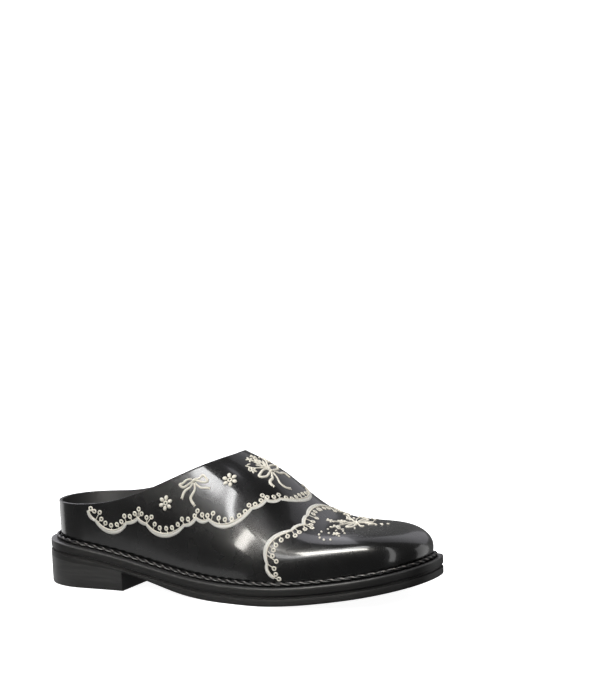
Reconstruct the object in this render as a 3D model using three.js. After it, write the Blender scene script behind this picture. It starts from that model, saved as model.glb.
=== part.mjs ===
// A right-foot mule: a low-backed leather slip-on with a square toe, a corded welt and a low block heel.
// Millimetres, +Z up, the toe towards +X and the outer (lateral) side towards -Y.
// The origin is on the floor, under the middle of the sole.
import * as THREE from "three";
import { mergeVertices } from "three/addons/utils/BufferGeometryUtils.js";

// Driving sizes
const soleLength = 271;
const ballWidth = 104;
const throatHeight = 89;
const backHeight = 54;
const heelRise = 17.5;
const toeSpring = 14.4;
const wallThickness = 2;
const fitGap = 0.3;

// Sole layers and their outlines
const outsoleThickness = 4.7;
const grooveHeight = 1.8;
const grooveDepth = 1;
const weltThickness = 5;
const weltOverhang = 7;
const weltLap = 3.5;
const cordRadius = 1.4;
const heelBreast = 66;
const heelTaper = 0.5;
const flatStart = 0.53 * soleLength;
const flatEnd = 0.6 * soleLength;
const springPower = 1.72;
const waistThinning = 2.4;
const waistStart = 26;
const waistEnd = 120;

// Plan outline of the sole: half-widths as shares of the ball width, at shares of the length from the heel
const planRows = [
  { at: 0.0, lateral: 0.335, medial: 0.335 },
  { at: 0.14, lateral: 0.335, medial: 0.335 },
  { at: 0.3, lateral: 0.355, medial: 0.335 },
  { at: 0.45, lateral: 0.425, medial: 0.375 },
  { at: 0.6, lateral: 0.495, medial: 0.46 },
  { at: 0.7, lateral: 0.5, medial: 0.495 },
  { at: 0.82, lateral: 0.45, medial: 0.49 },
  { at: 1.0, lateral: 0.37, medial: 0.43 },
];
const heelRound = { run: 36, power: 2.1 };
const toeRound = { run: 48, lateral: 2.4, medial: 2.35 };
const heelShare = 0.16;
const toeShare = 0.68;

// Ridge of the last: height as a share of the throat height, sideways lean in mm, and how square each side is
const ridgeRows = [
  { at: 0.0, height: 1.3, lean: 0, lateral: 4, medial: 4 },
  { at: 0.2, height: 1.3, lean: 1, lateral: 3.4, medial: 3.4 },
  { at: 0.36, height: 1.22, lean: 2, lateral: 2.5, medial: 2.6 },
  { at: 0.505, height: 1.005, lean: 2, lateral: 2.2, medial: 2.3 },
  { at: 0.56, height: 0.929, lean: 2, lateral: 2.2, medial: 2.35 },
  { at: 0.6, height: 0.852, lean: 2, lateral: 2.2, medial: 2.4 },
  { at: 0.65, height: 0.723, lean: 1.5, lateral: 2.3, medial: 2.5 },
  { at: 0.7, height: 0.608, lean: 1.5, lateral: 2.7, medial: 2.7 },
  { at: 0.76, height: 0.526, lean: 1, lateral: 3.9, medial: 3.6 },
  { at: 0.82, height: 0.501, lean: 1, lateral: 5.2, medial: 4.8 },
  { at: 0.92, height: 0.483, lean: 1.5, lateral: 5.6, medial: 5.2 },
  { at: 1.0, height: 0.434, lean: 2, lateral: 4.6, medial: 4.6 },
];
const spineStart = 42;
const spineEnd = 232;
const spineBlend = 8;
const wallBulge = 1.2;

// Collar line seen from the side: height above the floor as a share of the throat height
const collarRows = [
  { at: 0.0, height: backHeight / throatHeight },
  { at: 0.1, height: 0.61 },
  { at: 0.18, height: 0.63 },
  { at: 0.28, height: 0.715 },
  { at: 0.4, height: 0.875 },
  { at: 0.47, height: 0.965 },
  { at: 0.505, height: 1.0 },
  { at: 0.62, height: 1.08 },
];

// Scalloped edgings, from the heel or the welt to the ridge and mirrored on the medial side: the place of each
// point between two scallops, as a station and a share of the girth from the ridge, and the depth, width and lean
// of the scallop that follows it. The last scallop lies across the ridge.
const yokeRows = [
  { station: 39.4, drop: 0.773, depth: 1.4, width: 2.3, lean: 0, pieces: 4 },
  { station: 44.3, drop: 0.824, depth: 6.9, width: 3, lean: 0, pieces: 8 },
  { station: 67.1, drop: 0.794, depth: 1, width: 2.3, lean: 0, pieces: 4 },
  { station: 75.8, drop: 0.746, depth: 1.1, width: 2.3, lean: 0, pieces: 4 },
  { station: 82, drop: 0.766, depth: 7.4, width: 3, lean: -0.12, pieces: 8 },
  { station: 110.8, drop: 0.698, depth: 1.25, width: 2.3, lean: -0.04, pieces: 4 },
  { station: 119.5, drop: 0.63, depth: 1.8, width: 2.3, lean: -0.03, pieces: 4 },
  { station: 129, drop: 0.614, depth: 7, width: 3, lean: -0.07, pieces: 8 },
  { station: 159.2, drop: 0.462, depth: 1.3, width: 2.3, lean: 0, pieces: 4 },
  { station: 166.1, drop: 0.35, depth: 1.5, width: 2.3, lean: 0, pieces: 4 },
  { station: 173, drop: 0.26, depth: 8.8, width: 3, lean: 0, pieces: 10 },
];
const toeRows = [
  { station: 180, drop: 0.932, depth: 2.8, width: 2.3, lean: 0, pieces: 6 },
  { station: 174.8, drop: 0.825, depth: 5.2, width: 3, lean: -0.12, pieces: 12 },
  { station: 187.9, drop: 0.507, depth: 0.9, width: 2.3, lean: 0, pieces: 4 },
  { station: 193.3, drop: 0.393, depth: 1.2, width: 2.3, lean: 0, pieces: 4 },
  { station: 190.6, drop: 0.239, depth: 3, width: 2.8, lean: 0, pieces: 12 },
];
const edgingHeight = 0.7;
const edgingNeck = 1.9;

// Steps of the mesh along each side and up the wall
const heelSteps = 8;
const collarSteps = 22;
const vampSteps = 9;
const toeSteps = 13;
const wallRows = 15;
const ribSamples = 60;
const collarSamples = 300;
const cordSides = 6;

// A smooth curve through one column of a table: a natural cubic spline over the column "at"
function curveThrough(rows, column) {
  const x = rows.map((row) => row.at);
  const y = rows.map((row) => row[column]);
  const last = x.length - 1;
  const bend = new Array(last + 1).fill(0);
  const sweep = new Array(last + 1).fill(0);
  for (let i = 1; i < last; i++) {
    const before = x[i] - x[i - 1];
    const after = x[i + 1] - x[i];
    const pull = 6 * ((y[i + 1] - y[i]) / after - (y[i] - y[i - 1]) / before);
    const pivot = 2 * (before + after) - before * sweep[i - 1];
    sweep[i] = after / pivot;
    bend[i] = (pull - before * bend[i - 1]) / pivot;
  }
  for (let i = last - 1; i > 0; i--) bend[i] -= sweep[i] * bend[i + 1];
  return (at) => {
    let i = 0;
    while (i < last - 1 && at > x[i + 1]) i++;
    const span = x[i + 1] - x[i];
    const b = (at - x[i]) / span;
    const a = 1 - b;
    const sag = ((a ** 3 - a) * bend[i] + (b ** 3 - b) * bend[i + 1]) * (span * span) / 6;
    return a * y[i] + b * y[i + 1] + sag;
  };
}

const halfWidth = {
  lateral: curveThrough(planRows, "lateral"),
  medial: curveThrough(planRows, "medial"),
};
const squareness = {
  lateral: curveThrough(ridgeRows, "lateral"),
  medial: curveThrough(ridgeRows, "medial"),
};
const ridgeShare = curveThrough(ridgeRows, "height");
const ridgeLean = curveThrough(ridgeRows, "lean");
const collarShare = curveThrough(collarRows, "height");
const sideSign = { lateral: -1, medial: 1 };

const ridgeHeight = (station) => throatHeight * ridgeShare(station / soleLength);
const collarHeight = (station) => throatHeight * collarShare(station / soleLength);

// Height of the line that the sole's layers follow: heel seat, arch, flat tread and toe spring
function treadHeight(station) {
  if (station < flatStart) {
    const share = Math.min(1, (flatStart - station) / flatStart);
    return heelRise * (1 - Math.cos(Math.PI * share)) / 2;
  }
  const past = Math.max(0, station - flatEnd) / (soleLength - flatEnd);
  return toeSpring * past ** springPower;
}

// The outsole is thinner at the waist: its underside rises there, above the line that the layers follow
function soleBottom(station) {
  const share = Math.min(1, Math.max(0, (station - waistStart) / (waistEnd - waistStart)));
  return treadHeight(station) + waistThinning * Math.sin(Math.PI * share) ** 2;
}
const weltBase = (station) => treadHeight(station) + outsoleThickness + grooveHeight;
const weltTop = (station) => weltBase(station) + weltThickness;

// A point of the sole's outline. Along goes from 0, the middle of the heel, to 1, the middle of the toe.
function outlinePoint(side, along) {
  let station;
  let fill = 1;
  if (along < heelShare) {
    const angle = (along / heelShare) * Math.PI / 2;
    station = heelRound.run * (1 - Math.cos(angle) ** (2 / heelRound.power));
    fill = Math.sin(angle) ** (2 / heelRound.power);
  } else if (along > toeShare) {
    const angle = ((along - toeShare) / (1 - toeShare)) * Math.PI / 2;
    const power = toeRound[side];
    station = soleLength - toeRound.run * (1 - Math.sin(angle) ** (2 / power));
    fill = Math.max(0, Math.cos(angle)) ** (2 / power);
  } else {
    const share = (along - heelShare) / (toeShare - heelShare);
    station = heelRound.run + share * (soleLength - heelRound.run - toeRound.run);
  }
  const width = ballWidth * halfWidth[side](station / soleLength) * fill;
  return new THREE.Vector2(station, sideSign[side] * width);
}

// The same outline moved inwards by a distance
function insetPoint(side, along, inset) {
  const point = outlinePoint(side, along);
  if (along <= 0) return point.set(inset, 0);
  if (along >= 1) return point.set(soleLength - inset, 0);
  const nudge = Math.min(1e-3, along, 1 - along);
  const run = outlinePoint(side, along + nudge).sub(outlinePoint(side, along - nudge)).normalize();
  const inward = new THREE.Vector2(-run.y, run.x).multiplyScalar(-sideSign[side]);
  return point.addScaledVector(inward, inset);
}

// Where a rib of the last ends on the ridge: straight above its foot, or gathered at the toe and heel
function spinePoint(station) {
  const pastToe = spineBlend * Math.log(1 + Math.exp((station - spineEnd) / spineBlend));
  const beforeHeel = spineBlend * Math.log(1 + Math.exp((spineStart - station) / spineBlend));
  const spine = station - pastToe + beforeHeel;
  return new THREE.Vector2(spine, ridgeLean(spine / soleLength));
}

// A point of the last's skin on one rib. Turn goes from 0, at the welt, to a quarter circle, at the ridge.
function ribPoint(side, along, turn) {
  const foot = insetPoint(side, along, weltOverhang);
  const station = (outlinePoint("lateral", along).x + outlinePoint("medial", along).x) / 2;
  const spine = spinePoint(station);
  const power = squareness[side](station / soleLength);
  const cos = Math.cos(turn);
  const sin = Math.sin(turn);
  const radius = (Math.max(0, cos) ** power + sin ** power) ** (-1 / power);
  const rise = radius * sin;
  const outward = foot.clone().sub(spine).normalize();
  const plan = spine.clone().lerp(foot, Math.max(0, radius * cos));
  plan.addScaledVector(outward, wallBulge * Math.sin(Math.PI * Math.min(1, rise)));
  const base = weltTop(foot.x) + fitGap;
  return new THREE.Vector3(plan.x, plan.y, base + (ridgeHeight(plan.x) - base) * rise);
}

// The turn at which a rib meets the collar line, or a quarter circle where it runs on to the ridge
function collarTurn(side, along) {
  const above = (turn) => {
    const point = ribPoint(side, along, turn);
    return point.z - collarHeight(point.x);
  };
  let low = 0;
  let high = Math.PI / 2;
  if (above(high) <= 1e-6) return high;
  for (let i = 0; i < 40; i++) {
    const middle = (low + high) / 2;
    if (above(middle) < 0) low = middle;
    else high = middle;
  }
  return high;
}

// One rib as evenly spaced points, from its foot on the welt to its end on the collar or the ridge
function ribLine(side, rib) {
  const end = collarTurn(side, rib.top);
  const samples = Array.from({ length: ribSamples + 1 }, (_, i) => {
    const share = i / ribSamples;
    return ribPoint(side, rib.foot + (rib.top - rib.foot) * share, end * share);
  });
  const travel = travelAlong(samples);
  return Array.from({ length: wallRows + 1 }, (_, j) => {
    const { before, share } = placeAt(travel, travel[ribSamples] * j / wallRows);
    return samples[before].clone().lerp(samples[before + 1], share);
  });
}

function travelAlong(points) {
  const travel = [0];
  for (let i = 1; i < points.length; i++) travel.push(travel[i - 1] + points[i].distanceTo(points[i - 1]));
  return travel;
}

function placeAt(travel, wanted) {
  let before = 0;
  while (before < travel.length - 2 && travel[before + 1] < wanted) before++;
  return { before, share: (wanted - travel[before]) / (travel[before + 1] - travel[before]) };
}

// Where the collar line crosses the ridge, as a share along the side
function throatAlong() {
  let low = 0.4 * soleLength;
  let high = 0.62 * soleLength;
  for (let i = 0; i < 40; i++) {
    const middle = (low + high) / 2;
    if (ridgeHeight(middle) > collarHeight(middle)) low = middle;
    else high = middle;
  }
  return alongAt(high);
}

// The share along the side of a station between the heel's and the toe's rounding
function alongAt(station) {
  const straight = soleLength - heelRound.run - toeRound.run;
  return heelShare + (toeShare - heelShare) * (station - heelRound.run) / straight;
}

const steps = (count, from, to) => Array.from({ length: count }, (_, i) => from + (to - from) * i / count);
const throat = throatAlong();

// Ribs behind the throat end at even spaces along the collar, the others straight above their feet
function ribPlaces() {
  const tries = Array.from({ length: collarSamples + 1 }, (_, i) => throat * (1 - (1 - i / collarSamples) ** 3));
  const line = tries.map((along) => ribPoint("lateral", along, collarTurn("lateral", along)));
  const travel = travelAlong(line);
  const behind = steps(collarSteps, 0, 1).map((share) => {
    const { before, share: part } = placeAt(travel, travel[collarSamples] * share);
    return { foot: throat * share, top: tries[before] + (tries[before + 1] - tries[before]) * part };
  });
  const ahead = [...steps(vampSteps, throat, toeShare), ...steps(toeSteps, toeShare, 1), 1];
  return [...behind, ...ahead.map((along) => ({ foot: along, top: along }))];
}

const ribs = ribPlaces();
const outlinePlaces = ribs.map((rib) => rib.foot);

// Two triangles across the shorter diagonal of four corners
const quad = (a, b, c, d) =>
  a.distanceTo(c) <= b.distanceTo(d) ? [a, b, c, a, c, d] : [b, c, d, b, d, a];

function facesToGeometry(points) {
  const loose = new THREE.BufferGeometry().setFromPoints(points);
  const merged = mergeVertices(loose, 1e-4);
  const index = merged.index.array;
  const kept = [];
  for (let i = 0; i < index.length; i += 3) {
    const [a, b, c] = [index[i], index[i + 1], index[i + 2]];
    if (a !== b && b !== c && c !== a) kept.push(a, b, c);
  }
  merged.setIndex(kept);
  return merged;
}

// A solid through rings, each with a lateral and a medial rail from heel to toe, capped or closed on itself
function solidFromRings(rings, closed) {
  const points = [];
  const count = rings[0].lateral.length - 1;
  const wall = (low, high) => {
    for (let i = 0; i < count; i++) {
      const [a, b] = [low.lateral, high.lateral];
      points.push(...quad(a[i], a[i + 1], b[i + 1], b[i]));
      const [c, d] = [low.medial, high.medial];
      points.push(...quad(c[i + 1], c[i], d[i], d[i + 1]));
    }
    points.push(...quad(low.lateral[count], low.medial[count], high.medial[count], high.lateral[count]));
  };
  const cap = (ring, up) => {
    for (let i = 0; i < count; i++) {
      const [a, b, c, d] = [ring.lateral[i], ring.lateral[i + 1], ring.medial[i + 1], ring.medial[i]];
      points.push(...(up ? quad(a, b, c, d) : quad(a, d, c, b)));
    }
  };
  for (let k = 0; k + 1 < rings.length; k++) wall(rings[k], rings[k + 1]);
  if (closed) wall(rings[rings.length - 1], rings[0]);
  else {
    cap(rings[0], false);
    cap(rings[rings.length - 1], true);
  }
  return facesToGeometry(points);
}

// A ring of the sole's outline, moved inwards, at a height worked out from the station
function ringAt(inset, height, places = outlinePlaces) {
  const rail = (side) =>
    places.map((along) => {
      const point = insetPoint(side, along, inset);
      return new THREE.Vector3(point.x, point.y, height(point.x));
    });
  return { lateral: rail("lateral"), medial: rail("medial") };
}

// A wall of even thickness on a sheet: from one distance along its normals to another
function shellFromSheet(points, from, to, isLevel = () => false) {
  const sheet = facesToGeometry(points);
  sheet.computeVertexNormals();
  const place = sheet.attributes.position;
  const facing = sheet.attributes.normal;
  const move = (i, distance) => {
    const point = new THREE.Vector3().fromBufferAttribute(place, i);
    const normal = new THREE.Vector3().fromBufferAttribute(facing, i);
    if (isLevel(point)) normal.setZ(0).normalize();
    return point.addScaledVector(normal, distance);
  };
  const low = Array.from({ length: place.count }, (_, i) => move(i, from));
  const high = Array.from({ length: place.count }, (_, i) => move(i, to));
  const index = sheet.index.array;
  const faces = [];
  const rim = new Map();
  for (let i = 0; i < index.length; i += 3) {
    const corner = [index[i], index[i + 1], index[i + 2]];
    faces.push(...corner.map((k) => high[k]), ...corner.toReversed().map((k) => low[k]));
    corner.forEach((a, k) => {
      const b = corner[(k + 1) % 3];
      if (!rim.delete(b + "-" + a)) rim.set(a + "-" + b, [a, b]);
    });
  }
  for (const [a, b] of rim.values()) faces.push(...quad(high[a], low[a], low[b], high[b]));
  return facesToGeometry(faces);
}

// The upper: one wall round the last, open at the collar and underneath
function upperGeometry() {
  const faces = [];
  for (const side of ["lateral", "medial"]) {
    const lines = ribs.map((rib) => ribLine(side, rib));
    for (let i = 0; i + 1 < lines.length; i++) {
      for (let j = 0; j < wallRows; j++) {
        const corners = [lines[i][j], lines[i + 1][j], lines[i + 1][j + 1], lines[i][j + 1]];
        faces.push(...quad(...(side === "lateral" ? corners : corners.toReversed())));
      }
    }
  }
  const onWelt = (point) => point.z - weltTop(point.x) - fitGap < 0.05;
  return shellFromSheet(faces, -wallThickness, 0, onWelt);
}

// A point of the last's skin at a station, and at a share of the girth from the ridge down to the welt
function skinPoint(side, station, drop) {
  const along = alongAt(station);
  const quarter = Math.PI / 2;
  const samples = Array.from({ length: ribSamples + 1 }, (_, i) => ribPoint(side, along, quarter * i / ribSamples));
  const travel = travelAlong(samples);
  const { before, share } = placeAt(travel, travel[ribSamples] * (1 - drop));
  const point = ribPoint(side, along, quarter * (before + share) / ribSamples);
  return { point, girth: travel[ribSamples] };
}

// The line of an edging on the lateral half, with how full its scallop is at each point
function edgingLine(rows, bulge) {
  const sheet = rows.map((row) => {
    const { girth } = skinPoint("lateral", row.station, row.drop);
    return new THREE.Vector2(row.station, row.drop * girth);
  });
  const line = [];
  const endAngle = Math.PI / 4;
  rows.forEach((row, k) => {
    const onRidge = k === rows.length - 1;
    const start = sheet[k];
    const across = onRidge ? new THREE.Vector2(0, -2 * start.y) : sheet[k + 1].clone().sub(start);
    const out = new THREE.Vector2(-across.y, across.x).normalize().multiplyScalar(bulge * row.depth);
    const count = onRidge ? row.pieces / 2 + 1 : row.pieces;
    for (let i = 0; i < count; i++) {
      const angle = endAngle + (Math.PI - 2 * endAngle) * i / row.pieces;
      const share = 0.5 - Math.cos(angle) / (2 * Math.cos(endAngle));
      const fullness = (Math.sin(angle) - Math.sin(endAngle)) / (1 - Math.sin(endAngle));
      const place = start.clone().addScaledVector(across, share + row.lean * fullness);
      place.addScaledVector(out, fullness);
      const { girth } = skinPoint("lateral", place.x, 0);
      const width = edgingNeck + (row.width - edgingNeck) * fullness;
      line.push({ station: place.x, drop: Math.max(0, place.y / girth), width });
    }
  });
  return line;
}

// A raised band that follows an edging line over the upper, from one side to the other
function edgingGeometry(rows, bulge) {
  const half = edgingLine(rows, bulge);
  const line = [
    ...half.map((place) => ({ ...place, side: "lateral" })),
    ...half.slice(0, -1).toReversed().map((place) => ({ ...place, side: "medial" })),
  ];
  const centre = line.map(({ side, station, drop }) => skinPoint(side, station, drop).point);
  const edges = line.map(({ side, station, drop, width }, i) => {
    const run = centre[Math.min(i + 1, line.length - 1)].clone().sub(centre[Math.max(i - 1, 0)]);
    const low = Math.max(drop, 0.02);
    const lengthways = skinPoint(side, station + 1, low).point.sub(skinPoint(side, station - 1, low).point);
    const upwards = skinPoint(side, station, low - 0.02).point.sub(skinPoint(side, station, low + 0.02).point);
    const normal = lengthways.cross(upwards).multiplyScalar(-sideSign[side]);
    const reach = normal.cross(run).setLength(width / 2);
    return [centre[i].clone().add(reach), centre[i].clone().sub(reach)];
  });
  const faces = [];
  for (let i = 0; i + 1 < edges.length; i++) {
    faces.push(...quad(edges[i][1], edges[i + 1][1], edges[i + 1][0], edges[i][0]));
  }
  return shellFromSheet(faces, fitGap, fitGap + edgingHeight);
}

function outsoleGeometry() {
  const shoulder = (station) => treadHeight(station) + outsoleThickness;
  const top = (station) => weltBase(station) - fitGap;
  return solidFromRings([
    ringAt(0, soleBottom),
    ringAt(0, shoulder),
    ringAt(grooveDepth, shoulder),
    ringAt(grooveDepth, top),
  ]);
}

function weltGeometry() {
  const inner = weltOverhang + weltLap;
  return solidFromRings(
    [ringAt(0, weltBase), ringAt(0, weltTop), ringAt(inner, weltTop), ringAt(inner, weltBase)],
    true,
  );
}

// The cord lies on the welt, against the foot of the upper
function weltCordGeometry() {
  const centre = weltOverhang - cordRadius - 2 * fitGap;
  const rings = Array.from({ length: cordSides }, (_, k) => {
    const angle = (2 * Math.PI * k) / cordSides;
    const lift = cordRadius * (1 + Math.sin(angle)) + fitGap;
    return ringAt(centre - cordRadius * Math.cos(angle), (station) => weltTop(station) + lift);
  });
  return solidFromRings(rings, true);
}

function insoleGeometry() {
  const edge = weltOverhang + weltLap + fitGap;
  return solidFromRings([ringAt(edge, weltBase), ringAt(edge, weltTop)]);
}

function heelGeometry() {
  const breast = alongAt(heelBreast);
  const places = [...steps(heelSteps, 0, heelShare), ...steps(4, heelShare, breast), breast];
  return solidFromRings([
    ringAt(heelTaper, () => 0, places),
    ringAt(0, (station) => soleBottom(station) - fitGap, places),
  ]);
}

const polishedLeather = new THREE.MeshStandardMaterial({ color: 0x151515, roughness: 0.25, metalness: 0 });
const edgeBlack = new THREE.MeshStandardMaterial({ color: 0x1f1e1f, roughness: 0.55, metalness: 0 });
const soleRubber = new THREE.MeshStandardMaterial({ color: 0x1a1a1b, roughness: 0.6, metalness: 0 });
const ivoryThread = new THREE.MeshStandardMaterial({ color: 0xdad5c9, roughness: 0.6, metalness: 0 });
const cordBlack = new THREE.MeshStandardMaterial({ color: 0x181716, roughness: 0.5, metalness: 0 });

function piece(name, geometry, material) {
  const mesh = new THREE.Mesh(geometry, material);
  mesh.name = name;
  return mesh;
}

const shoe = new THREE.Group();
shoe.add(piece("upper", upperGeometry(), polishedLeather));
shoe.add(piece("yoke_edging", edgingGeometry(yokeRows, 1), ivoryThread));
shoe.add(piece("toe_edging", edgingGeometry(toeRows, -1), ivoryThread));
shoe.add(piece("insole", insoleGeometry(), polishedLeather));
shoe.add(piece("welt", weltGeometry(), edgeBlack));
shoe.add(piece("welt_cord", weltCordGeometry(), cordBlack));
shoe.add(piece("outsole", outsoleGeometry(), soleRubber));
shoe.add(piece("heel_block", heelGeometry(), edgeBlack));

// The origin goes under the middle of the sole
const outline = ringAt(0, () => 0);
const reach = (side) => Math.max(...outline[side].map((point) => Math.abs(point.y)));
shoe.position.set(-soleLength / 2, (reach("lateral") - reach("medial")) / 2, 0);

export default shoe;
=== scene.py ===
import math
import bpy
import numpy as np
from mathutils import Euler, Matrix, Quaternion, Vector


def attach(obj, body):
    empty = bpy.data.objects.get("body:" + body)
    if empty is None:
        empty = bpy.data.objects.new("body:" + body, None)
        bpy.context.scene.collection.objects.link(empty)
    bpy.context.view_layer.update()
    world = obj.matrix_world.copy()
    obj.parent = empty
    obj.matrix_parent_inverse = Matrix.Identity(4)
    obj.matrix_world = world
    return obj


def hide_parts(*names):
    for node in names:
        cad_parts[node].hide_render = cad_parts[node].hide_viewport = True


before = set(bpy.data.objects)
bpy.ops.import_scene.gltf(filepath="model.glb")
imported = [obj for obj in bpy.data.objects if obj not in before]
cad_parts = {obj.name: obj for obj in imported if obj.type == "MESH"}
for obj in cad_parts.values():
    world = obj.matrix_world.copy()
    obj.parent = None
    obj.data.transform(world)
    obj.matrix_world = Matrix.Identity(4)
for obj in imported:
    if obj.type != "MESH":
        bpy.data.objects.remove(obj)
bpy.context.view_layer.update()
scene = bpy.context.scene
mm = 0.001
sides = ("lateral", "medial")
sideSign = {"lateral": -1.0, "medial": 1.0}
crisp, firm, soft, rounded = 35, 40, 60, 80  # degrees up to which edges are shaded smooth

# The last, in millimetres: station from the heel, sideways (outer side negative), height
last = {
    "soleLength": 271, "ballWidth": 104, "throatHeight": 89,
    "heelRise": 17.5, "toeSpring": 14.4, "springPower": 1.72, "flatStart": 0.53, "flatEnd": 0.6,
    "waist": {"thinning": 2.4, "start": 26, "end": 120},
    "outsole": 4.7, "groove": 1.8, "welt": 5, "overhang": 7, "lap": 3.5, "gap": 0.3, "wall": 2,
    "heelRun": 36, "heelPower": 2.1, "toeRun": 48, "toePower": {"lateral": 2.4, "medial": 2.35},
    "heelShare": 0.16, "toeShare": 0.68, "spineStart": 42, "spineEnd": 232, "spineBlend": 8, "bulge": 1.2,
    "plan": [  # share of the length, outer and inner half-width as shares of the ball width
        (0, 0.335, 0.335), (0.14, 0.335, 0.335), (0.3, 0.355, 0.335), (0.45, 0.425, 0.375),
        (0.6, 0.495, 0.46), (0.7, 0.5, 0.495), (0.82, 0.45, 0.49), (1, 0.37, 0.43)],
    "ridge": [  # share of the length, height share, lean in mm, squareness of the outer and inner side
        (0, 1.3, 0, 4, 4), (0.2, 1.3, 1, 3.4, 3.4), (0.36, 1.22, 2, 2.5, 2.6), (0.505, 1.005, 2, 2.2, 2.3),
        (0.56, 0.929, 2, 2.2, 2.35), (0.6, 0.852, 2, 2.2, 2.4), (0.65, 0.723, 1.5, 2.3, 2.5),
        (0.7, 0.608, 1.5, 2.7, 2.7), (0.76, 0.526, 1, 3.9, 3.6), (0.82, 0.501, 1, 5.2, 4.8),
        (0.92, 0.483, 1.5, 5.6, 5.2), (1, 0.434, 2, 4.6, 4.6)],
    "collar": [  # share of the length, height share
        (0, 54 / 89), (0.1, 0.61), (0.18, 0.63), (0.28, 0.715), (0.4, 0.875), (0.47, 0.965),
        (0.505, 1.0), (0.62, 1.08)],
    "tableSteps": 2001, "girthSteps": 140, "nudge": 1e-3,
}


def curveThrough(rows, column):  # natural cubic spline over the first column
    x = np.array([row[0] for row in rows], float)
    y = np.array([row[column] for row in rows], float)
    count = len(x)
    system = np.eye(count)
    pull = np.zeros(count)
    for i in range(1, count - 1):
        before, after = x[i] - x[i - 1], x[i + 1] - x[i]
        system[i, i - 1:i + 2] = before, 2 * (before + after), after
        pull[i] = 6 * ((y[i + 1] - y[i]) / after - (y[i] - y[i - 1]) / before)
    bend = np.linalg.solve(system, pull)

    def curve(at):
        at = np.asarray(at, float)
        i = np.clip(np.searchsorted(x, at) - 1, 0, count - 2)
        span = x[i + 1] - x[i]
        b = (at - x[i]) / span
        a = 1 - b
        return a * y[i] + b * y[i + 1] + ((a**3 - a) * bend[i] + (b**3 - b) * bend[i + 1]) * span**2 / 6

    return curve


soleLength = last["soleLength"]


def overLength(rows, column, factor=1):  # a curve over the stations
    curve = curveThrough(rows, column)
    return lambda station: factor * curve(station / soleLength)


halfWidth = {side: overLength(last["plan"], k) for k, side in enumerate(sides, 1)}
squareness = {side: overLength(last["ridge"], k) for k, side in enumerate(sides, 3)}
ridgeLean = overLength(last["ridge"], 2)
ridgeHeight = overLength(last["ridge"], 1, last["throatHeight"])
collarHeight = overLength(last["collar"], 1, last["throatHeight"])


def treadHeight(station):  # heel seat, arch, flat tread and toe spring
    station = np.asarray(station, float)
    flatStart, flatEnd = last["flatStart"] * soleLength, last["flatEnd"] * soleLength
    back = np.clip((flatStart - station) / flatStart, 0, 1)
    ahead = np.clip((station - flatEnd) / (soleLength - flatEnd), 0, None)
    seat = last["heelRise"] * (1 - np.cos(np.pi * back)) / 2
    return seat + last["toeSpring"] * ahead ** last["springPower"]


def soleBottom(station):  # the outsole is thinner at the waist
    waist = last["waist"]
    share = np.clip((np.asarray(station, float) - waist["start"]) / (waist["end"] - waist["start"]), 0, 1)
    return treadHeight(station) + waist["thinning"] * np.sin(np.pi * share) ** 2


def weltBase(station):
    return treadHeight(station) + last["outsole"] + last["groove"]


def weltTop(station):
    return weltBase(station) + last["welt"]


def outlinePoint(side, along):  # along: 0 at the middle of the heel, 1 at the middle of the toe
    along = np.asarray(along, float)
    heel, toe = last["heelShare"], last["toeShare"]
    heelPower, toePower = 2 / last["heelPower"], 2 / last["toePower"][side]
    heelAngle = np.clip(along / heel, 0, 1) * np.pi / 2
    toeAngle = np.clip((along - toe) / (1 - toe), 0, 1) * np.pi / 2
    heelCos, toeCos = np.clip(np.cos(heelAngle), 0, 1), np.clip(np.cos(toeAngle), 0, 1)
    straight = np.clip((along - heel) / (toe - heel), 0, 1)
    station = last["heelRun"] + straight * (soleLength - last["heelRun"] - last["toeRun"])
    station = np.where(along < heel, last["heelRun"] * (1 - heelCos**heelPower), station)
    tip = soleLength - last["toeRun"] * (1 - np.sin(toeAngle) ** toePower)
    station = np.where(along > toe, tip, station)
    fill = np.where(along < heel, np.sin(heelAngle) ** heelPower, 1.0)
    fill = np.where(along > toe, toeCos**toePower, fill)
    return station, sideSign[side] * last["ballWidth"] * halfWidth[side](station) * fill


def insetPoint(side, along, inset):
    along = np.asarray(along, float)
    x, y = outlinePoint(side, along)
    x0, y0 = outlinePoint(side, np.clip(along - last["nudge"], 0, 1))
    x1, y1 = outlinePoint(side, np.clip(along + last["nudge"], 0, 1))
    length = np.hypot(x1 - x0, y1 - y0)
    x = x + sideSign[side] * (y1 - y0) / length * inset
    y = y - sideSign[side] * (x1 - x0) / length * inset
    ends = (along <= 0) | (along >= 1)
    return np.where(along <= 0, inset, np.where(along >= 1, soleLength - inset, x)), np.where(ends, 0, y)


def meanStation(along):
    return sum(outlinePoint(side, along)[0] for side in sides) / 2


def ribPoint(side, along, turn):  # turn: 0 at the welt, a quarter circle at the ridge
    along, turn = np.broadcast_arrays(np.asarray(along, float), np.asarray(turn, float))
    footX, footY = insetPoint(side, along, last["overhang"])
    station = meanStation(along)
    blend = last["spineBlend"]
    spineX = station - blend * np.log1p(np.exp((station - last["spineEnd"]) / blend))
    spineX = spineX + blend * np.log1p(np.exp((last["spineStart"] - station) / blend))
    spineY = ridgeLean(spineX)
    power = squareness[side](station)
    cos, sin = np.clip(np.cos(turn), 0, 1), np.sin(turn)
    radius = (cos**power + sin**power) ** (-1 / power)
    rise, reach = radius * sin, radius * cos
    outX, outY = footX - spineX, footY - spineY
    bulge = last["bulge"] * np.sin(np.pi * np.clip(rise, 0, 1)) / np.hypot(outX, outY)
    x, y = spineX + outX * (reach + bulge), spineY + outY * (reach + bulge)
    base = weltTop(footX) + last["gap"]
    return np.stack([x, y, base + (ridgeHeight(x) - base) * rise], -1)


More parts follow.
